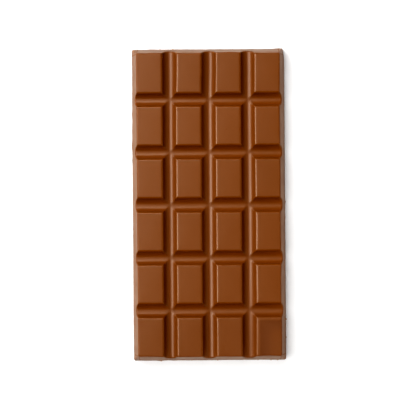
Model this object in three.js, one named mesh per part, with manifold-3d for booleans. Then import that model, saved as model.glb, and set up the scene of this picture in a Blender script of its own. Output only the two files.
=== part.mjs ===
// A moulded tablet of milk chocolate: a low block with leaning sides, scored from above into
// flat-topped pieces by rounded grooves that cross each other. Millimetres, +Z up, the long side
// along Y, and the origin in the middle of the flat underside.

import * as THREE from 'three';
import { mergeVertices } from 'three/addons/utils/BufferGeometryUtils.js';
import Module from 'manifold-3d';

const wasm = await Module();
wasm.setup();

// Driving dimensions
const barLength = 155;
const barWidth = 76.1;
const barHeight = 8;
const columns = 4;
const rows = 6;
const columnPitch = 19.35;
const rowPitch = 25.9;
const wallLean = 2.85; // how far each side leans in between the underside and the top
const topEdgeRadius = 0.7;
const baseEdgeRadius = 0.3;
const cornerRadius = 1;
const grooveWidth = 8.6;
const grooveDepth = 2.8;
const grooveLipRadius = 1.4;

// The last piece of the last column came out of its mould with a sunken, slanting top. It starts
// as a small step beside the two grooves and runs out over the bar's side and end.
const sunkenStep = 0.06;
const sunkenFall = 1; // degrees, down towards the bar's side and towards its end
const sunkenRim = 1; // left standing between the grooves and the step
const sunkenCornerRadius = 1;

// Fineness of the curved faces
const grooveSteps = 12;
const lipSteps = 4;
const topEdgeSteps = 4;
const baseEdgeSteps = 2;
const cornerSteps = 3;

const overrun = 2; // how far cutting shapes reach past the block

const chocolate = new THREE.MeshStandardMaterial({
  name: 'milk_chocolate',
  color: new THREE.Color(0x874a24),
  roughness: 0.38,
  metalness: 0,
});

function toSolid(geometry) {
  const bare = geometry.index ? geometry.toNonIndexed() : geometry.clone();
  bare.deleteAttribute('normal');
  bare.deleteAttribute('uv');
  const merged = mergeVertices(bare, 1e-5);
  return new wasm.Manifold(
    new wasm.Mesh({
      numProp: 3,
      vertProperties: new Float32Array(merged.attributes.position.array),
      triVerts: new Uint32Array(merged.index.array),
    }),
  );
}

function toGeometry(solid) {
  const mesh = solid.getMesh();
  const geometry = new THREE.BufferGeometry();
  geometry.setAttribute('position', new THREE.BufferAttribute(mesh.vertProperties, 3));
  geometry.setIndex(new THREE.BufferAttribute(mesh.triVerts, 1));
  geometry.computeVertexNormals();
  return geometry;
}

function roundedRectangle(width, length, radius) {
  const x = width / 2 - radius;
  const y = length / 2 - radius;
  const shape = new THREE.Shape();
  shape.absarc(x, y, radius, 0, Math.PI / 2, false);
  shape.absarc(-x, y, radius, Math.PI / 2, Math.PI, false);
  shape.absarc(-x, -y, radius, Math.PI, Math.PI * 1.5, false);
  shape.absarc(x, -y, radius, Math.PI * 1.5, Math.PI * 2, false);
  return shape;
}

// An arc of a side wall's section, from one facing angle above the horizon to another, as levels
// that each hold a height and how far in from the underside's edge the wall stands there.
function wallArc(centreInset, centreHeight, radius, fromAngle, toAngle, steps) {
  const levels = [];
  for (let i = 0; i <= steps; i++) {
    const angle = fromAngle + ((toAngle - fromAngle) * i) / steps;
    levels.push({
      inset: centreInset - radius * Math.cos(angle),
      height: centreHeight + radius * Math.sin(angle),
    });
  }
  return levels;
}

// The section of a side wall: a small arc under, the leaning flat, and a rounded upper edge.
function wallLevels() {
  const upright = Math.PI / 2;
  const lean = Math.atan2(wallLean, barHeight);
  const upperInset = wallLean + topEdgeRadius * Math.tan((upright - lean) / 2);
  const upperHeight = barHeight - topEdgeRadius;
  return [
    ...wallArc(baseEdgeRadius, baseEdgeRadius, baseEdgeRadius, -upright, 0, baseEdgeSteps),
    ...wallArc(upperInset, upperHeight, topEdgeRadius, lean, upright, topEdgeSteps),
  ];
}

// The block before it is scored: the outline of the underside, extruded one step to a level of
// the wall's section, and drawn in at each level.
function blockSolid() {
  const levels = wallLevels();
  const geometry = new THREE.ExtrudeGeometry(
    roundedRectangle(barWidth, barLength, cornerRadius),
    {
      depth: levels.length - 1,
      steps: levels.length - 1,
      curveSegments: cornerSteps,
      bevelEnabled: false,
    },
  );
  const position = geometry.attributes.position;
  for (let i = 0; i < position.count; i++) {
    const { inset, height } = levels[Math.round(position.getZ(i))];
    position.setXYZ(
      i,
      position.getX(i) * (1 - inset / (barWidth / 2)),
      position.getY(i) * (1 - inset / (barLength / 2)),
      height,
    );
  }
  return toSolid(geometry);
}

// The section that a groove cuts away, with the block's top at height 0. The floor is one arc,
// and a small arc on each side turns it over into the top without an edge.
function grooveSection() {
  const lipCentre = grooveWidth / 2;
  const reach = (lipCentre ** 2 + grooveDepth ** 2) / (2 * grooveDepth);
  const floorRadius = reach - grooveLipRadius;
  const floorCentre = floorRadius - grooveDepth;
  const spread = Math.asin(lipCentre / reach);
  const points = [new THREE.Vector2(-lipCentre, overrun)];
  for (let i = 0; i < lipSteps; i++) {
    const angle = (spread * i) / lipSteps;
    points.push(
      new THREE.Vector2(
        -lipCentre + grooveLipRadius * Math.sin(angle),
        grooveLipRadius * (Math.cos(angle) - 1),
      ),
    );
  }
  for (let i = 0; i <= grooveSteps / 2; i++) {
    const angle = spread * (1 - (2 * i) / grooveSteps);
    points.push(
      new THREE.Vector2(
        -floorRadius * Math.sin(angle),
        floorCentre - floorRadius * Math.cos(angle),
      ),
    );
  }
  const otherHalf = points.slice(0, -1).reverse();
  return new THREE.Shape([...points, ...otherHalf.map((p) => new THREE.Vector2(-p.x, p.y))]);
}

// A straight groove along Y with its section standing up in Z at the block's top.
function grooveGeometry(length) {
  const geometry = new THREE.ExtrudeGeometry(grooveSection(), {
    depth: length,
    steps: 1,
    bevelEnabled: false,
  });
  geometry.rotateX(Math.PI / 2);
  geometry.translate(0, length / 2, barHeight);
  return geometry;
}

// The place of one of several evenly spaced things about the middle.
function evenPlace(index, count, pitch) {
  return (index - (count - 1) / 2) * pitch;
}

function cutGrooves(block) {
  let scored = block;
  for (let i = 0; i < columns - 1; i++) {
    const groove = grooveGeometry(barLength + 2 * overrun);
    groove.translate(evenPlace(i, columns - 1, columnPitch), 0, 0);
    scored = scored.subtract(toSolid(groove));
  }
  for (let i = 0; i < rows - 1; i++) {
    const groove = grooveGeometry(barWidth + 2 * overrun);
    groove.rotateZ(Math.PI / 2);
    groove.translate(0, evenPlace(i, rows - 1, rowPitch), 0);
    scored = scored.subtract(toSolid(groove));
  }
  return scored;
}

// The slanting slab taken off the odd piece's top, with its upper corner inside the standing rim.
function sunkenSlab() {
  const fall = THREE.MathUtils.degToRad(sunkenFall);
  const besideGroove = grooveWidth / 2 + sunkenRim;
  const left = evenPlace(columns - 2, columns - 1, columnPitch) + besideGroove;
  const top = evenPlace(0, rows - 1, rowPitch) - besideGroove;
  const width = columnPitch + overrun;
  const length = rowPitch + overrun;
  const slab = new THREE.ExtrudeGeometry(roundedRectangle(width, length, sunkenCornerRadius), {
    depth: overrun,
    curveSegments: cornerSteps,
    bevelEnabled: false,
  });
  slab.translate(width / 2, -length / 2, -sunkenStep);
  slab.rotateY(fall);
  slab.rotateX(fall);
  slab.translate(left, top, barHeight);
  return toSolid(slab);
}

function chocolateBar() {
  const solid = cutGrooves(blockSolid()).subtract(sunkenSlab());
  const mesh = new THREE.Mesh(toGeometry(solid), chocolate);
  mesh.name = 'chocolate_bar';
  return mesh;
}

const bar = new THREE.Group();
bar.add(chocolateBar());

export default bar;
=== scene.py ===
import math

import bpy
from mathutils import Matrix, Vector


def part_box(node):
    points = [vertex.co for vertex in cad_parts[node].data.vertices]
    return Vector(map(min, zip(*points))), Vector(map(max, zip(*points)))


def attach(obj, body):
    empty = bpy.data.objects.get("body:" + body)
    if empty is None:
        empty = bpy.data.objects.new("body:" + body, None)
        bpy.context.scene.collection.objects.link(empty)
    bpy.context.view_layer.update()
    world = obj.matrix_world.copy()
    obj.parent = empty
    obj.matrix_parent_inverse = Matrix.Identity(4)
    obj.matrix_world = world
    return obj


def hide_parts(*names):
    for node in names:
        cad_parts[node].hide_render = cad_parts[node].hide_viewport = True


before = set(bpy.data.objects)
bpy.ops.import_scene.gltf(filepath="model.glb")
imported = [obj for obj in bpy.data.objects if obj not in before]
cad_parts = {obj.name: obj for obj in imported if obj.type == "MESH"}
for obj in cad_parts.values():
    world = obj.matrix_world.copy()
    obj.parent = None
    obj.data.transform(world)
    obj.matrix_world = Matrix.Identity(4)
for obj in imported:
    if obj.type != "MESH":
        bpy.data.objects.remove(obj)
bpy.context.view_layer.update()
mm = 0.001
tiny = 0.01 * mm  # as good as nothing


class Wire:
    # One socket of a node tree. Python's own operators on it add Math nodes.
    def __init__(self, socket):
        self.socket = socket
        self.tree = socket.id_data

    def math(self, operation, *values):
        return addNode(self.tree, "ShaderNodeMath", {"operation": operation}, values)

    def __add__(self, other):
        return self.math("ADD", self, other)

    def __radd__(self, other):
        return self.math("ADD", other, self)

    def __sub__(self, other):
        return self.math("SUBTRACT", self, other)

    def __rsub__(self, other):
        return self.math("SUBTRACT", other, self)

    def __mul__(self, other):
        return self.math("MULTIPLY", self, other)

    def __rmul__(self, other):
        return self.math("MULTIPLY", other, self)

    def __truediv__(self, other):
        return self.math("DIVIDE", self, other)

    def __rtruediv__(self, other):
        return self.math("DIVIDE", other, self)

    def __pow__(self, other):
        return self.math("POWER", self, other)

    def __rpow__(self, other):
        return self.math("POWER", other, self)

    def __neg__(self):
        return self.math("MULTIPLY", self, -1)

    def __abs__(self):
        return self.math("ABSOLUTE", self)

    def sin(self):
        return self.math("SINE", self)

    def cos(self):
        return self.math("COSINE", self)

    def tan(self):
        return self.math("TANGENT", self)

    def arcsin(self):
        return self.math("ARCSINE", self)

    def sqrt(self):
        return self.math("SQRT", self)

    def exp(self):
        return self.math("EXPONENT", self)

    def sign(self):
        return self.math("SIGN", self)

    def rounded(self):
        return self.math("ROUND", self)

    def below(self, other):
        return self.math("LESS_THAN", self, other)

    def above(self, other):
        return self.math("GREATER_THAN", self, other)

    def least(self, other):
        return self.math("MINIMUM", self, other)

    def most(self, other):
        return self.math("MAXIMUM", self, other)

    def softMost(self, other, reach):
        return self.math("SMOOTH_MAX", self, other, reach)

    def held(self, low=0, high=1):
        return self.least(high).most(low)

    def ease(self, low, high):
        # 0 below low, 1 above high, and smooth between them
        part = ((self - low) / (high - low)).held()
        return part * part * (3 - 2 * part)

    def hump(self):
        # 0 at 0 and at 1, and 1 halfway between them
        return self * (1 - self) * 4

    def settled(self, reach):
        # 0 at 0, rising fast at first, and nearly 1 at three times the reach
        return 1 - (-(self / reach)).exp()

    def part(self, name):
        return addNode(self.tree, "ShaderNodeSeparateXYZ", values=[self], output=name)

    def scaled(self, factor):
        # A colour or vector times a number
        factors = joined(factor, factor, factor)
        return addNode(self.tree, "ShaderNodeVectorMath", {"operation": "MULTIPLY"}, [self, factors])


def addNode(tree, kind, settings=None, values=(), output=None):
    # Adds a node of a kind, makes its settings, and feeds numbers or wires to its sockets, by order or
    # by name. Gives a wire from the named output, or from the first one.
    node = tree.nodes.new(kind)
    for name, value in (settings or {}).items():
        setattr(node, name, value)
    shown = [socket for socket in node.inputs if socket.enabled]
    pairs = values.items() if isinstance(values, dict) else enumerate(values)
    for key, value in pairs:
        socket = shown[key] if isinstance(key, int) else next(s for s in shown if s.name == key)
        if isinstance(value, Wire):
            tree.links.new(value.socket, socket)
        else:
            socket.default_value = value
    for socket in node.outputs:
        if socket.enabled and output in (None, socket.name):
            return Wire(socket)


def joined(x, y, z):
    return addNode(x.tree, "ShaderNodeCombineXYZ", values=[x, y, z])


def noise(place, grain, seed, detail=2.0):
    # Smooth random values about 0, at most 1 either way, in lumps of about a grain's size
    settings = {"noise_dimensions": "4D"}
    values = {"Vector": place, "W": seed, "Scale": 1 / grain, "Detail": detail, "Roughness": 0.5}
    return (addNode(place.tree, "ShaderNodeTexNoise", settings, values) - 0.5) * 2


def lump(along, middle, reach):
    # 1 in the middle and next to nothing at twice the reach, along one direction
    far = along.math("MULTIPLY_ADD", along, 1 / reach, -middle / reach)
    return math.exp(-1) ** (far * far)


def newObject(name, data):
    thing = bpy.data.objects.new(name, data)
    bpy.context.scene.collection.objects.link(thing)
    return thing


def newTree(name, inputs):
    # A geometry tree with named inputs of the given kinds, and a wire from each of them
    tree = bpy.data.node_groups.new(name, "GeometryNodeTree")
    tree.is_modifier = True
    for inputName, kind in inputs.items():
        tree.interface.new_socket(name=inputName, in_out="INPUT", socket_type="NodeSocket" + kind)
    tree.interface.new_socket(name="Geometry", in_out="OUTPUT", socket_type="NodeSocketGeometry")
    start = tree.nodes.new("NodeGroupInput")
    return tree, {inputName: Wire(start.outputs[inputName]) for inputName in inputs}


def stored(geometry, name, value):
    # Keeps a value on each point, for the material to read
    return addNode(geometry.tree, "GeometryNodeStoreNamedAttribute",
                   {"data_type": "FLOAT", "domain": "POINT"},
                   {"Geometry": geometry, "Name": name, "Value": value})


def endTree(geometry, material):
    # What every tree ends in: smooth, real faces with their material
    tree = geometry.tree
    smooth = addNode(tree, "GeometryNodeSetShadeSmooth", values=[geometry])
    real = addNode(tree, "GeometryNodeRealizeInstances", values=[smooth])
    painted = addNode(tree, "GeometryNodeSetMaterial", values={"Geometry": real, "Material": material})
    addNode(tree, "NodeGroupOutput", values=[painted])


def growPiece(name, tree, values, start=None):
    # Runs a tree on an empty mesh, or on the points it starts from, and keeps a plain mesh of the result.
    seed = newObject(name + "_seed", start or bpy.data.meshes.new(name + "_seed"))
    modifier = seed.modifiers.new("grow", "NODES")
    modifier.node_group = tree
    for item in tree.interface.items_tree:
        if item.in_out == "INPUT" and item.name in values:
            modifier[item.identifier] = values[item.name]
    graph = bpy.context.evaluated_depsgraph_get()
    mesh = bpy.data.meshes.new_from_object(seed.evaluated_get(graph))
    seed.modifiers.remove(modifier)
    bpy.data.objects.remove(seed)
    mesh.name = name
    return newObject(name, mesh)


# The bar is one moulding, 4 pieces by 6, that its tree raises from a flat sheet of grid lines.
barLow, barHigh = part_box("chocolate_bar")
bar = {
    # The named inputs of its tree
    "sizes": {
        "Width": barHigh.x - barLow.x,
        "Length": barHigh.y - barLow.y,
        "Height": barHigh.z - barLow.z,
        "Column Pitch": 19.35 * mm,
        "Row Pitch": 25.9 * mm,
        "Wall Lean": 2.85 * mm,
        "Top Edge Radius": 0.7 * mm,
        "Foot Radius": 0.3 * mm,
        "Corner Radius": 1.0 * mm,
        "Groove Width": 8.6 * mm,
        "Groove Depth": 2.8 * mm,
        "Lip Radius": 1.4 * mm,
        "Crown": 0.05 * mm,
        "Ridge Softness": 0.25 * mm,
        "Groove End Softness": 0.2 * mm,
        "Warp": 0.12 * mm,  # how far the lines of the mould wander
        "Waves": 0.05 * mm,  # how uneven the tops set
        "Lip Wear": 0.02 * mm,
        "Edge Wear": 0.12 * mm,
        "Rim Raggedness": 0.1 * mm,
        "Edge Raggedness": 0.16 * mm,
        "Sunken Depth": 0.3 * mm,  # of the odd piece, the last of the last column
        "Back Relief": 0.12 * mm,  # of the poured underside
        "Seed": 7.0,
    },
    "gridLines": {
        "columnGrooves": 3,
        "rowGrooves": 5,
        "floor": 8,  # grid lines from the middle of a groove out to its lip
        "lip": 5,
        "columnFlat": 7,  # from the lip out to the middle of a piece
        "rowFlat": 11,
        "edge": 4,  # round the upper edge
        "wall": 8,
        "footCrowding": 2.2,  # how the underside's lines crowd against the rim, to round the foot
    },
    # How far each groove's two lips and its floor stand off their even places, in mm, from the low
    # end of an axis up: first the lips on the low side, then those on the high side, then the floors
    "grooveShifts": {
        "columns": ((0.03, -0.2, 0.0), (-0.2, -0.05, -0.05), (0.1, 0.02, -0.02)),
        "rows": ((-0.3, -0.35, -0.3, 0, 0), (-0.2, -0.25, 0, 0, -0.2), (-0.25, -0.3, -0.1, 0.05, 0.2)),
    },
    # Where a stretch of a long groove or lip bows aside: place, reach along X and Y, and shift, in mm
    "bows": {
        "firstLip": (-15.6, 70.0, 1.8, 15.0, 0.55),
        "middleGroove": (0.0, 70.0, 5.5, 15.0, 0.4),
        "lastLipUpper": (23.6, -10.0, 1.5, 11.0, 0.4),
        "lastLipLower": (23.6, -45.0, 1.5, 22.0, 0.4),
        "lastLipTop": (23.6, 50.0, 1.5, 22.0, -0.12),
    },
    # The rim of the foot: where along each side, over what reach, and how far out it bulges, in mm
    "rimBulges": {
        "left": ((45.5, 1.5, 0.22), (37, 4, 0.12), (29.5, 2.2, 0.3), (22.5, 1, 0.12), (-75, 1.5, -0.1)),
        "right": ((0, 300, -0.15), (77, 3.5, -0.5), (1, 1, 0.14), (-6.5, 1.2, 0.13)),
        "far": ((0, 300, 0.1), (-28, 2, 0.12), (-2.5, 2, -0.08), (35, 1.6, 0.22)),
        "near": ((0, 300, 0.1), (-31.5, 2, 0.12), (-25, 1.3, 0.26), (-18, 1.5, 0.1), (33, 1.5, 0.1)),
    },
    # The upper edge over it, in the same way
    "edgeBulges": {
        "left": ((66, 10, 0.4), (40, 10, 0.05), (-10, 10, 0.3), (-60, 8, 0.05)),
        "right": ((45, 26, -0.45), (-5, 20, -0.3), (-42, 8, -0.4)),
        "far": ((-32, 7, -0.25), (-9, 5, -0.6), (9.5, 6, 0.3), (29, 8, -0.65)),
        "near": ((-31, 6, -0.3), (29, 6, -0.45)),
    },
    # Single flaws of the top: place, reach along X and Y, and height, in mm
    "flaws": {
        "burrAtFirstGroove": (-15.3, 75.9, 0.6, 0.45, 0.3),
        "chipBesideIt": (-13.9, 75.6, 0.9, 0.5, -0.22),
        "burrAtSecondGroove": (2.8, 75.7, 0.6, 0.4, 0.28),
        "chipInFarWall": (5.2, 76.3, 0.9, 0.4, -0.2),
        "nickInLip": (-3.2, 62.4, 0.7, 0.6, -0.15),
        "firstDimple": (-12.9, -70.6, 0.7, 0.7, -0.09),
        "secondDimple": (7.1, -70.8, 0.7, 0.7, -0.09),
        "farCornerTip": (36.6, 77.0, 0.8, 0.6, 0.3),
        "leftCornerBurr": (-36.9, 76.3, 0.7, 0.5, 0.3),
    },
    # The lumps of each unevenness, and how strong the second kind is where two are added
    "grains": {
        "waves": 20 * mm,
        "ripples": 5 * mm,
        "rippleShare": 0.3,
        "wear": 1.6 * mm,
        "rim": 2.5 * mm,
        "rimWaves": 9 * mm,
        "rimWaveShare": 0.8,
        "chips": 3 * mm,
        "warp": 24 * mm,
        "back": 16 * mm,
        "backRipples": 4 * mm,
        "backRippleShare": 0.35,
        "seam": 0.9 * mm,
    },
    # Where things act, measured in from the edge of the foot
    "insets": {
        "rimReach": 2.4 * mm,  # the rim's bulges and raggedness fade out over this
        "edgeMiddle": 3.1 * mm,
        "edgeReach": 0.8 * mm,
        "squareFrom": (3 * mm, 7 * mm),  # the rings of the grid lose their round corners
        "backFrom": (2 * mm, 9 * mm),  # the relief of the underside comes in
    },
    "backLevel": 0.4,  # how much of the underside its relief takes up
    # The odd piece falls steeply from the rim beside its two grooves and then runs out nearly level.
    "dish": {
        "rim": 0.75 * mm,
        "steepReach": 1.6 * mm,
        "slowReach": 6 * mm,
        "steepShare": 0.55,
    },
    # How the marks are drawn that the finish reads
    "marks": {
        "lipClear": 0.3 * mm,  # how deep a crossing groove is where a lip has ended
        "edgeClear": 0.4 * mm,  # and where the seam along the upper edge has
        "seamWidth": 0.2 * mm,  # of the seam where a groove runs out through a side
        "seamDepth": (0.3 * mm, 0.9 * mm),
        "wallDepth": (0.2 * mm, 1.3 * mm),
        "seamMean": 0.7,
        "seamSwing": 0.6,
        "freshFrom": (0.28, 0.5),
    },
    "weld": 0.002 * mm,
}


def picked(index, values):
    # The value that belongs to an index, which counts from the middle of the values
    middle = (len(values) - 1) / 2
    total = 0
    for i, value in enumerate(values):
        total = (1 - abs(index - (i - middle))).held() * value + total
    return total


def bulged(along, bulges):
    # The sum of a side's bulges at a place along it
    total = 0
    for middle, reach, bulge in bulges:
        total = lump(along, middle * mm, reach * mm) * (bulge * mm) + total
    return total


def spotted(level, x, y, spots):
    # A level with single spots added to it
    for spotX, spotY, reachX, reachY, height in spots.values():
        spot = lump(x, spotX * mm, reachX * mm) * lump(y, spotY * mm, reachY * mm)
        level = level + spot * (height * mm)
    return level


class Lines:
    # How the grid lines across one direction of the bar are spread, and how deep the mould cuts there
    def __init__(self, index, grooves, flat, pitch, half, shifts, sizes):
        counts = bar["gridLines"]
        last = (grooves - 1) / 2
        cellLines = 2 * (counts["floor"] + counts["lip"] + flat)
        cell = (index / cellLines).rounded().held(-last, last)
        fromFloor = index - cell * cellLines
        self.side = fromFloor.sign()
        steps = abs(fromFloor)
        start = 0
        shares = []
        for count in (counts["floor"], counts["lip"], flat, flat, counts["edge"], counts["wall"]):
            shares.append(((steps - start) / count).held())
            start += count
        floor, lip, flatShare, outer, edge, wall = shares
        self.total = int(last * cellLines + start)

        # A groove's floor is one arc, and a small arc on each side turns it over into the top.
        width, depth, lipRadius = sizes["Groove Width"] / 2, sizes["Groove Depth"], sizes["Lip Radius"]
        reach = (width * width + depth * depth) / (2 * depth)
        floorRadius = reach - lipRadius
        spread = (width / reach).arcsin()
        lipAngle = spread * (1 - lip)
        self.grooveDrop = (
            lipRadius * (1 - lipAngle.cos())
            + floorRadius * ((spread * floor).cos() - spread.cos())
        )

        # An arc at the upper edge leads over into the leaning side.
        lean = sizes["Wall Lean"].math("ARCTAN2", sizes["Wall Lean"], sizes["Height"])
        edgeRadius = sizes["Top Edge Radius"]
        upright = math.pi / 2
        edgeInset = sizes["Wall Lean"] + edgeRadius * ((upright - lean) / 2).tan()
        edgeAngle = upright - (upright - lean) * edge
        wallWidth = edgeInset - edgeRadius * lean.cos()
        wallFall = sizes["Height"] - sizes["Foot Radius"] - edgeRadius * (1 - lean.sin())
        self.wallDrop = edgeRadius * (1 - edgeAngle.sin()) + wallFall * wall

        outerFlat = half - pitch * (last + 0.5) - edgeInset
        distance = (
            floorRadius * (spread * floor).sin()
            + lipRadius * (spread.sin() - lipAngle.sin())
            + (pitch / 2 - width) * flatShare
            + outerFlat * outer
            + edgeRadius * edgeAngle.cos()
        )
        # The lips and the floor each stand a little off their even places.
        low, high, middle = (picked(cell, row) * mm for row in shifts)
        own = low + (high - low) * self.side.above(0)
        shift = (middle + (own - middle) * floor) * (1 - flatShare)
        crowded = 1 - (1 - wall) ** counts["footCrowding"]
        self.lip = lip.hump()
        self.edge = edge.hump()
        self.place = cell * pitch + self.side * (distance + wallWidth * wall) + shift
        self.placeUnder = cell * pitch + self.side * (distance + wallWidth * crowded)
        self.inset = half - abs(self.place)
        self.insetUnder = half - abs(self.placeUnder)

        # Where on its own piece a point stands, from -1 on one side to 1 on the other
        isOuter = abs(self.place).above(pitch * last + width)
        halfInner = pitch / 2 - width
        halfOuter = (half - edgeInset - pitch * last - width) / 2
        halfFlat = halfInner + (halfOuter - halfInner) * isOuter
        self.across = (distance - width - halfFlat) / halfFlat


def roundCorners(x, y, insetX, insetY, radius):
    # Slides the grid's square corners in, so that each ring of it turns on an arc
    ring = insetX.least(insetY)
    arc = radius * (1 - ring.ease(*bar["insets"]["squareFrom"])) + tiny
    along = ((insetX.most(insetY) - ring) / arc).held()
    angle = (1 - along) * (math.pi / 4)
    square = -(arc * (1 - angle.cos()))
    slide = -(arc * (1 - along - angle.sin()))
    facesX = insetX.below(insetY)
    moveX = slide + (square - slide) * facesX
    moveY = square + (slide - square) * facesX
    return x + x.sign() * moveX, y + y.sign() * moveY


def unevenTop(acrossX, acrossY, sizes):
    # What keeps the tops from being dead flat: slow waves, worn lips, single flaws and the odd piece
    x, y = acrossX.place, acrossY.place
    seed, grains, dish = sizes["Seed"], bar["grains"], bar["dish"]
    place = joined(x, y, 0)
    waves = noise(place, grains["waves"], seed)
    waves = waves + grains["rippleShare"] * noise(place, grains["ripples"], seed + 1)
    lips = acrossX.lip.most(acrossY.lip)
    wear = noise(place, grains["wear"], seed + 2, detail=3.0)
    lift = sizes["Waves"] * waves + sizes["Lip Wear"] * wear * lips
    lift = lift - sizes["Edge Wear"] * wear.most(0) * acrossX.edge.most(acrossY.edge)
    lift = spotted(lift, x, y, bar["flaws"])

    rimX = sizes["Column Pitch"] + sizes["Groove Width"] / 2 + dish["rim"]
    rimY = -(sizes["Row Pitch"] * 2 + sizes["Groove Width"] / 2 + dish["rim"])
    fromX = (x - rimX).most(0)
    fromY = (rimY - y).most(0)
    steepX = fromX.settled(dish["steepReach"])
    steepY = fromY.settled(dish["steepReach"])
    slow = dish["steepShare"] + (1 - dish["steepShare"]) * fromX.settled(dish["slowReach"])
    return lift - sizes["Sunken Depth"] * steepX * steepY * slow


def outwards(along, inset, isHigh, sides, ragged, chipped):
    # How far the rim and the upper edge of two opposite sides stand out, at a place along them
    insets = bar["insets"]
    for side, which in zip(sides, (1 - isHigh, isHigh)):
        ragged = ragged + bulged(along, bar["rimBulges"][side]) * which
        chipped = chipped + bulged(along, bar["edgeBulges"][side]) * which
    rim = (1 - inset / insets["rimReach"]).held()
    return ragged * rim + lump(inset, insets["edgeMiddle"], insets["edgeReach"]) * chipped


def unevenOutline(x, y, insetX, insetY, sizes):
    # Rounds the bar's corners and lets its lines wander and bow and its rim and edge be ragged
    seed, grains = sizes["Seed"], bar["grains"]
    x, y = roundCorners(x, y, insetX, insetY, sizes["Corner Radius"])
    place = joined(x, y, 0)
    ragged = noise(place, grains["rim"], seed + 3)
    ragged = ragged + grains["rimWaveShare"] * noise(place, grains["rimWaves"], seed + 4)
    ragged = sizes["Rim Raggedness"] * ragged
    chipped = sizes["Edge Raggedness"] * noise(place, grains["chips"], seed + 8, detail=3.0)
    outX = outwards(y, insetX, x.above(0), ("left", "right"), ragged, chipped)
    outY = outwards(x, insetY, y.above(0), ("near", "far"), ragged, chipped)
    warpX = spotted(sizes["Warp"] * noise(place, grains["warp"], seed + 6), x, y, bar["bows"])
    warpY = sizes["Warp"] * noise(place, grains["warp"], seed + 7)
    return x + warpX + x.sign() * outX, y + warpY + y.sign() * outY


def raisedTop(acrossX, acrossY, grooves, walls, sizes):
    # Where the points of the upper side go
    softness = sizes["Groove End Softness"] * (grooves * (1 / mm)).held()
    drop = grooves.softMost(walls, softness)
    crownX = (1 - acrossX.across * acrossX.across).held()
    crownY = (1 - acrossY.across * acrossY.across).held()
    top = sizes["Height"] - drop + sizes["Crown"] * crownX * crownY
    top = top + unevenTop(acrossX, acrossY, sizes)
    x, y = unevenOutline(acrossX.place, acrossY.place, acrossX.inset, acrossY.inset, sizes)
    return x, y, top.most(sizes["Foot Radius"])


def pouredBack(acrossX, acrossY, sizes):
    # Where the points of the underside go: flat but for a slight relief, and rounded at the foot
    seed, foot, grains = sizes["Seed"], sizes["Foot Radius"], bar["grains"]
    x, y = acrossX.placeUnder, acrossY.placeUnder
    insetX, insetY = acrossX.insetUnder, acrossY.insetUnder
    ring = insetX.least(insetY)
    rise = (foot - ring).most(0)
    under = foot - (foot * foot - rise * rise).most(0).sqrt()
    flat = joined(x, y, 0)
    hollow = noise(flat, grains["back"], seed + 5)
    hollow = hollow + grains["backRippleShare"] * noise(flat, grains["backRipples"], seed)
    away = ring.ease(*bar["insets"]["backFrom"])
    under = under + (sizes["Back Relief"] * away * (bar["backLevel"] + hollow)).most(0)
    x, y = unevenOutline(x, y, insetX, insetY, sizes)
    return x, y, under


def finishMarks(acrossX, acrossY, grooves, walls, place, sizes):
    # How far each point belongs to a lip, a long groove, a side, the seam round the top or a fresh break,
    # which the finish paints with a glow of light through thin chocolate
    drawn = bar["marks"]
    clearX = 1 - (acrossX.grooveDrop / drawn["lipClear"]).held()
    clearY = 1 - (acrossY.grooveDrop / drawn["lipClear"]).held()
    lips = (acrossX.lip * clearY).most(acrossY.lip * clearX) * walls.below(tiny)
    bare = walls - grooves
    edges = acrossX.edge.most(acrossY.edge) * (1 - (grooves / drawn["edgeClear"]).held())
    grooveEnds = lump(bare, 0.0, drawn["seamWidth"]) * grooves.ease(*drawn["seamDepth"])
    seam = edges.most(grooveEnds)
    ragged = noise(place, bar["grains"]["seam"], sizes["Seed"] + 9)
    return {
        "lip": lips,
        "longGroove": acrossX.grooveDrop / sizes["Groove Depth"],
        "wall": bare.ease(*drawn["wallDepth"]),
        "seam": seam * (drawn["seamMean"] + drawn["seamSwing"] * ragged),
        "freshGlow": seam * ragged.ease(*drawn["freshFrom"]),
    }


def mouldTree():
    tree, sizes = newTree("mouldedBar", {**dict.fromkeys(bar["sizes"], "Float"), "Material": "Material"})
    counts, shifts = bar["gridLines"], bar["grooveShifts"]
    spot = addNode(tree, "GeometryNodeInputPosition")
    acrossX = Lines(spot.part("X"), counts["columnGrooves"], counts["columnFlat"],
                    sizes["Column Pitch"], sizes["Width"] / 2, shifts["columns"], sizes)
    acrossY = Lines(spot.part("Y"), counts["rowGrooves"], counts["rowFlat"],
                    sizes["Row Pitch"], sizes["Length"] / 2, shifts["rows"], sizes)
    grooves = acrossX.grooveDrop.softMost(acrossY.grooveDrop, sizes["Ridge Softness"])
    walls = acrossX.wallDrop.most(acrossY.wallDrop)
    topX, topY, top = raisedTop(acrossX, acrossY, grooves, walls, sizes)
    underX, underY, under = pouredBack(acrossX, acrossY, sizes)
    marks = finishMarks(acrossX, acrossY, grooves, walls, joined(underX, underY, 0), sizes)

    # Top and underside grow from the same sheet and are welded along its edge.
    sheet = addNode(tree, "GeometryNodeMeshGrid", values={
        "Size X": 2.0 * acrossX.total,
        "Size Y": 2.0 * acrossY.total,
        "Vertices X": 2 * acrossX.total + 1,
        "Vertices Y": 2 * acrossY.total + 1,
    })
    marked = sheet
    for name, value in marks.items():
        marked = stored(marked, name, value)
    raised = addNode(tree, "GeometryNodeSetPosition",
                     values={"Geometry": marked, "Position": joined(topX, topY, top)})
    turned = addNode(tree, "GeometryNodeFlipFaces", values=[sheet])
    laid = addNode(tree, "GeometryNodeSetPosition",
                   values={"Geometry": turned, "Position": joined(underX, underY, under)})
    both = addNode(tree, "GeometryNodeJoinGeometry", values=[laid])
    tree.links.new(raised.socket, both.socket.node.inputs[0])
    closed = addNode(tree, "GeometryNodeMergeByDistance",
                     values={"Geometry": both, "Distance": bar["weld"]})
    endTree(closed, sizes["Material"])
    return tree


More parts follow.
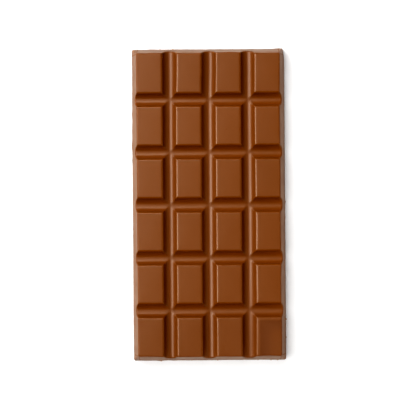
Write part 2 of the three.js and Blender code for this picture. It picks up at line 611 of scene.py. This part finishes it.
# The finish. Where two lengths or levels stand together, a thing starts at the first and is full at
# the second, unless a note says otherwise.
look = {
    "brown": (0.2335, 0.093, 0.0268, 1),
    "bloomAndSheen": (0.4, 0.265, 0.185, 1),  # the faint grey of milk chocolate's bloom on the tops; on the sides it is a painted reflection of the pale table
    "dark": (0.196, 0.079, 0.028, 1),  # of the odd piece: partly a darker tone of its own, partly painted shade where its sunken top falls away from the light
    "seam": (0.25, 0.09, 0.018, 1),  # round the top and where grooves run out, a ragged line kept clear of the painted wall sheen; its saturated orange is a painted glow of light through the thin edge
    "freshGlow": (0.46, 0.24, 0.075, 1),  # where it broke or tore on its way out of the mould: partly the tone of a fresh break, partly painted glow of light through thin chocolate
    "seamShare": 0.8,
    "topHeight": (7.0 * mm, 7.8 * mm),
    "topBloom": 0.012,
    # On the sides the grey is painted sheen, standing for the pale table's reflection
    "wallSheen": 0.355,
    "oddPiece": {
        "rim": 0.6 * mm,
        "softness": 0.6 * mm,
        "darkShare": 0.85,
        "fading": 0.75,  # towards its outer corner
        "fadingX": (2 * mm, 9 * mm),
        "fadingY": (1 * mm, 8 * mm),
    },
    "mottling": {
        "strength": 0.018,
        "broad": 28 * mm,
        "broadShare": 0.6,
        "patches": 6 * mm,
        "fine": 1.1 * mm,
        "fineShare": 0.7,
    },
    # Painted shade: darker towards both ends, where the light falls off, and down the long grooves, where
    # less light reaches in. Besides, darker in a patch over the last column's second and third pieces
    # from the far end.
    "shade": {
        "ends": 0.04,
        "endsFrom": (46 * mm, 58 * mm),
        "deep": 0.05,
        "deepX": (29 * mm, 8 * mm),  # middle and reach
        "deepY": (25 * mm, 22 * mm),
        "longGrooves": 0.05,
    },
    "relief": {
        "skin": 0.35 * mm,
        "skinHeight": 0.004 * mm,
        "fineShare": 0.5,
        "pinholeSpacing": 4.5 * mm,
        "pinholeRadius": (0.03, 0.07),  # as shares of the spacing
        "pinholeFields": 9 * mm,
        "pinholeLevel": 0.2,
        "pinholeDepth": 0.012 * mm,
    },
    "roughness": 0.29,
    # What makes it duller or, with a minus, glossier
    "dullness": {
        "patches": 0.03,
        "wall": 0.05,
        "longGroove": 0.06,
        "middleGroove": -0.03,
        "corner": 0.14,
        "lip": -0.03,
        "seam": 0.3,
    },
    "middleReach": 3.5 * mm,  # either side of the middle groove
    "cornerX": (4 * mm, 20 * mm),  # towards the odd piece's corner of the bar
    "cornerY": (30 * mm, 70 * mm),
}


def mark(tree, name):
    # What the piece's own tree stored on its points
    return addNode(tree, "ShaderNodeAttribute", {"attribute_name": name}, output="Fac")


def mixed(share, first, second):
    return addNode(share.tree, "ShaderNodeMix", {"data_type": "RGBA"},
                   {"Factor": share, "A": first, "B": second})


def shadedOddPiece(x, y, wall):
    # 1 on the odd piece's top, fading towards its outer corner: its darker tone and painted shade,
    # strongest beside its rims where its sunken top falls away from the light
    odd, sizes = look["oddPiece"], bar["sizes"]
    rimX = sizes["Column Pitch"] + sizes["Groove Width"] / 2 + odd["rim"]
    rimY = -(2 * sizes["Row Pitch"] + sizes["Groove Width"] / 2 + odd["rim"])
    inside = x.ease(rimX, rimX + odd["softness"]) * (-y).ease(-rimY, odd["softness"] - rimY)
    faded = odd["fading"] * (x - rimX).ease(*odd["fadingX"]) * (rimY - y).ease(*odd["fadingY"])
    return inside * (1 - faded) * (1 - wall)


def skinBump(spot, fine):
    # The skin's fine grain, with pinholes where air bubbles met the mould
    relief = look["relief"]
    cells = addNode(spot.tree, "ShaderNodeTexVoronoi", {"feature": "F1"},
                    {"Vector": spot, "Scale": 1 / relief["pinholeSpacing"], "Randomness": 1.0})
    hole = 1 - cells.ease(*relief["pinholeRadius"])
    keep = noise(spot, relief["pinholeFields"], 4.0).above(relief["pinholeLevel"])
    height = fine * relief["skinHeight"] * relief["fineShare"] - hole * keep * relief["pinholeDepth"]
    height = height + noise(spot, relief["skin"], 5.0, detail=3.0) * relief["skinHeight"]
    return addNode(spot.tree, "ShaderNodeBump",
                   values={"Strength": 1.0, "Distance": 1.0, "Height": height})


def milkChocolate():
    material = bpy.data.materials.new("milkChocolate")
    material.use_nodes = True
    tree = material.node_tree
    tree.nodes.clear()
    spot = addNode(tree, "ShaderNodeTexCoord", output="Object")
    x, y, z = spot.part("X"), spot.part("Y"), spot.part("Z")
    lip, longGroove, wall = mark(tree, "lip"), mark(tree, "longGroove"), mark(tree, "wall")
    seam, freshGlow = mark(tree, "seam"), mark(tree, "freshGlow")
    top = z.ease(*look["topHeight"])
    odd = shadedOddPiece(x, y, wall)

    mottling = look["mottling"]
    broad = noise(spot, mottling["broad"], 1.0)
    patches = noise(spot, mottling["patches"], 2.0, detail=3.0)
    fine = noise(spot, mottling["fine"], 3.0, detail=4.0)
    mottle = broad * mottling["broadShare"] + patches + fine * mottling["fineShare"]

    # Bloom on the tops, and on the sides a painted sheen standing for the pale table's reflection
    bloomAndSheen = (top * look["topBloom"] + wall * look["wallSheen"] * (1 + patches)) * (1 - odd)
    # The odd piece darker: partly its own tone, partly painted shade
    brown = mixed(odd * look["oddPiece"]["darkShare"], look["brown"], look["dark"])
    bloomedAndSheened = mixed(bloomAndSheen.held(), brown, look["bloomAndSheen"])
    # Painted glow: the seam in a more saturated orange-brown, with no painted sheen on it
    edged = mixed((seam * look["seamShare"]).held(), bloomedAndSheened, look["seam"])
    # Painted glow: fresh breaks brighter and warmer, as if lit through
    broken = mixed(freshGlow, edged, look["freshGlow"])

    shade = look["shade"]
    ends = abs(y).ease(*shade["endsFrom"])
    deep = lump(x, *shade["deepX"]) * lump(y, *shade["deepY"])
    # Painted shade towards the ends and down the long grooves, on top of random mottling and the darker
    # patch
    tone = 1 + mottle * mottling["strength"] - ends * shade["ends"] - deep * shade["deep"]
    tone = tone - longGroove * shade["longGrooves"]

    places = {
        "patches": patches,
        "wall": wall,
        "longGroove": longGroove,
        "middleGroove": lump(x, 0.0, look["middleReach"]) * (1 - top),
        "corner": x.ease(*look["cornerX"]) * (-y).ease(*look["cornerY"]) * (1 - wall),
        "lip": lip,
        "seam": seam,
    }
    roughness = look["roughness"]
    for name, dullness in look["dullness"].items():
        roughness = roughness + dullness * places[name]

    shader = addNode(tree, "ShaderNodeBsdfPrincipled", values={
        "Base Color": broken.scaled(tone),
        "Roughness": roughness,
        "Normal": skinBump(spot, fine),
        "IOR": 1.5,
    })
    addNode(tree, "ShaderNodeOutputMaterial", values={"Surface": shader})
    return material


chocolate = milkChocolate()
print("finish:", len(chocolate.node_tree.nodes), "nodes")
wholeBar = growPiece("milk_chocolate_bar", mouldTree(), {**bar["sizes"], "Material": chocolate})
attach(wholeBar, "root")
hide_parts("chocolate_bar")
print("bar:", len(wholeBar.data.polygons), "faces")


# Crumbs and burrs that cling where the bar was tipped out of its mould
crumbs = {
    # The named inputs of their tree
    "sizes": {
        "Size": 0.3 * mm,
        "Roughness": 0.35,
        "Seed": 3,
    },
    "fineness": 3,
    "grain": 0.25 * mm,
    "turns": ((0, 0, 0), (0.4, 0.4, 2 * math.pi)),  # least and most, about each axis
    "stretches": ((0.8, 0.6, 0.5), (1.5, 1.1, 0.8)),
    # Where they cling: X, Y and Z in mm, with the size of each as a share of the usual one
    "places": {
        "rightFoot": ((38.05, -57.4, 0.25, 0.9), (38.05, -66.4, 0.25, 1.0), (38.1, 1.2, 0.2, 0.6)),
        "nearFoot": ((-24.6, -77.7, 0.25, 1.2), (-9.2, -77.6, 0.2, 0.7), (3.8, -77.6, 0.2, 0.9),
                     (23.9, -77.6, 0.2, 1.0), (30.4, -77.6, 0.2, 0.9), (33.7, -77.6, 0.25, 1.1)),
        "leftFoot": ((-38.15, 30.2, 0.25, 0.7), (-38.1, -12.0, 0.2, 0.5)),
        "farFoot": ((12.5, 77.6, 0.2, 0.7), (-17.5, 77.65, 0.25, 0.8), (-24.0, 77.65, 0.2, 0.7)),
        "farCorners": ((36.7, 77.4, 0.3, 1.1), (-36.95, 76.5, 2.8, 0.9)),
        "grooveEnds": ((-15.6, 75.2, 6.3, 1.2), (2.7, 75.0, 6.4, 0.7)),
        "upperEdges": ((-22.4, 72.6, 7.3, 0.5), (35.6, 70.8, 6.6, 0.6)),
    },
}


def randomVector(seed, low, high):
    return addNode(seed.tree, "FunctionNodeRandomValue", {"data_type": "FLOAT_VECTOR"},
                   {"Min": low, "Max": high, "Seed": seed})


def crumbTree():
    kinds = {"Size": "Float", "Roughness": "Float", "Seed": "Int", "Material": "Material"}
    tree, given = newTree("rimCrumbs", {"Geometry": "Geometry", **kinds})
    flake = addNode(tree, "GeometryNodeMeshIcoSphere",
                    values={"Radius": given["Size"], "Subdivisions": crumbs["fineness"]})
    share = addNode(tree, "GeometryNodeInputNamedAttribute", {"data_type": "FLOAT"}, {"Name": "share"})
    turn = randomVector(given["Seed"], *crumbs["turns"])
    stretch = randomVector(given["Seed"] + 1, *crumbs["stretches"])
    spread = addNode(tree, "GeometryNodeInstanceOnPoints", values={
        "Points": given["Geometry"], "Instance": flake, "Rotation": turn, "Scale": stretch.scaled(share)})
    # Made real before they are roughened, so that no two are alike
    whole = addNode(tree, "GeometryNodeRealizeInstances", values=[spread])
    # Painted glow: every crumb takes the brighter orange of light through thin flakes
    broken = stored(whole, "freshGlow", 1.0)
    place = addNode(tree, "GeometryNodeInputPosition")
    out = addNode(tree, "GeometryNodeInputNormal")
    rough = noise(place, crumbs["grain"], 2.0) * given["Roughness"] * given["Size"]
    bumpy = addNode(tree, "GeometryNodeSetPosition",
                    values={"Geometry": broken, "Offset": out.scaled(rough)})
    endTree(bumpy, given["Material"])
    return tree


def crumbSpots():
    # One point for each crumb, that carries its share of the usual size
    mesh = bpy.data.meshes.new("crumbSpots")
    spots = [spot for places in crumbs["places"].values() for spot in places]
    mesh.from_pydata([(x * mm, y * mm, z * mm) for x, y, z, share in spots], [], [])
    shares = mesh.attributes.new("share", "FLOAT", "POINT")
    shares.data.foreach_set("value", [share for x, y, z, share in spots])
    return mesh


rimCrumbs = growPiece("rim_crumbs", crumbTree(), {**crumbs["sizes"], "Material": chocolate}, crumbSpots())
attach(rimCrumbs, "root")
print("crumbs:", len(rimCrumbs.data.polygons), "faces")


studio = {
    "floorSide": 2.2,  # metres
    "floorWhite": 0.81,
    "floorRoughness": 0.9,
    "backdropWhite": 1.2,
    "skyStrength": 0.01,
    "contrast": "Very High Contrast",
    "blackLevel": 0.02,
    # Far soft lights: degrees down from overhead, degrees round from +X, width in degrees, strength
    "farLights": {
        "overheadWash": (20, 180, 60, 0.3),
        "leftWindow": (28, 180, 32, 0.85),
        "leftWindowEdge": (46, 180, 26, 0.36),
        "cornerWindow": (30, 135, 20, 0.25),
        "cornerWash": (30, 150, 60, 0.38),
        "topWindow": (50, 90, 20, 0.03),
        "farWindow": (24, 90, 14, 0.08),
        "rightWash": (65, -10, 60, 0.17),
        "rightFill": (38, -10, 40, 0.12),
        "lowLeft": (60, 180, 20, 0.04),
        "lowFront": (86, -38, 12, 0.42),
    },
    "glareless": ("lowFront",),  # lights that reach the sides but show in no reflection
    # Panels near the bar: place and size in metres, watts, and whether it is turned to face the bar
    "panels": {
        "nearPanel": ((-0.11, 0.45, 0.5), (0.15, 0.3), 0.546, False),
        "cornerPanel": ((-1.2, 1.2, 0.85), (0.7, 0.7), 7.09, True),
        "fillCard": ((1.0, -1.0, 0.35), (1.4, 0.6), 2.5, True),
    },
}


def makeFloor():
    side = studio["floorSide"] / 2
    corners = [(-side, -side, 0), (side, -side, 0), (side, side, 0), (-side, side, 0)]
    mesh = bpy.data.meshes.new("tableTop")
    mesh.from_pydata(corners, [], [(0, 1, 2, 3)])
    floor = newObject("tableTop", mesh)
    material = bpy.data.materials.new("paleTable")
    material.use_nodes = True
    shader = material.node_tree.nodes["Principled BSDF"]
    white = studio["floorWhite"]
    shader.inputs["Base Color"].default_value = (white, white, white, 1)
    shader.inputs["Roughness"].default_value = studio["floorRoughness"]
    shader.inputs["Specular IOR Level"].default_value = 0.0
    mesh.materials.append(material)


def makeBackdrop():
    # White behind the table where the camera sees it, and hardly any light of its own
    world = bpy.data.worlds.new("softRoom")
    world.use_nodes = True
    tree = world.node_tree
    sky = tree.nodes["Background"]
    seen = addNode(tree, "ShaderNodeLightPath", output="Is Camera Ray")
    glow = studio["skyStrength"] + (studio["backdropWhite"] - studio["skyStrength"]) * seen
    tree.links.new(glow.socket, sky.inputs["Strength"])
    sky.inputs["Color"].default_value = (1, 1, 1, 1)
    bpy.context.scene.world = world


def makeLights():
    for name, (tilt, turn, width, strength) in studio["farLights"].items():
        lamp = bpy.data.lights.new(name, "SUN")
        lamp.angle = math.radians(width)
        lamp.energy = strength
        window = newObject(name, lamp)
        window.rotation_euler = (0, math.radians(tilt), math.radians(turn))
        window.visible_glossy = name not in studio["glareless"]
    for name, (place, size, power, aimed) in studio["panels"].items():
        lamp = bpy.data.lights.new(name, "AREA")
        lamp.shape = "RECTANGLE"
        lamp.size, lamp.size_y = size
        lamp.energy = power
        panel = newObject(name, lamp)
        panel.location = place
        if aimed:
            panel.rotation_euler = Vector(place).to_track_quat("Z", "Y").to_euler()


def setTones():
    view = bpy.context.scene.view_settings
    view.view_transform = "Standard"
    view.look = studio["contrast"]
    view.use_curve_mapping = True
    view.curve_mapping.black_level = (studio["blackLevel"],) * 3


camera = {
    "distance": 0.475,  # metres above the table
    "frameSide": 207.9 * mm,  # what the frame spans on the table
    "aim": (-0.57 * mm, -1.65 * mm),
    "roll": -0.41,  # degrees
    "sensor": 36.0,
    "clip": (0.01, 20),
}


def makeCamera():
    lens = bpy.data.cameras.new("overhead")
    lens.sensor_width = camera["sensor"]
    lens.lens = camera["sensor"] * camera["distance"] / camera["frameSide"]
    lens.clip_start, lens.clip_end = camera["clip"]
    eye = newObject("overhead", lens)
    eye.location = (*camera["aim"], camera["distance"])
    eye.rotation_euler = (0, 0, math.radians(camera["roll"]))
    bpy.context.scene.camera = eye


makeFloor()
makeBackdrop()
makeLights()
makeCamera()
setTones()
print("studio: floor, backdrop, lights, camera and tones")
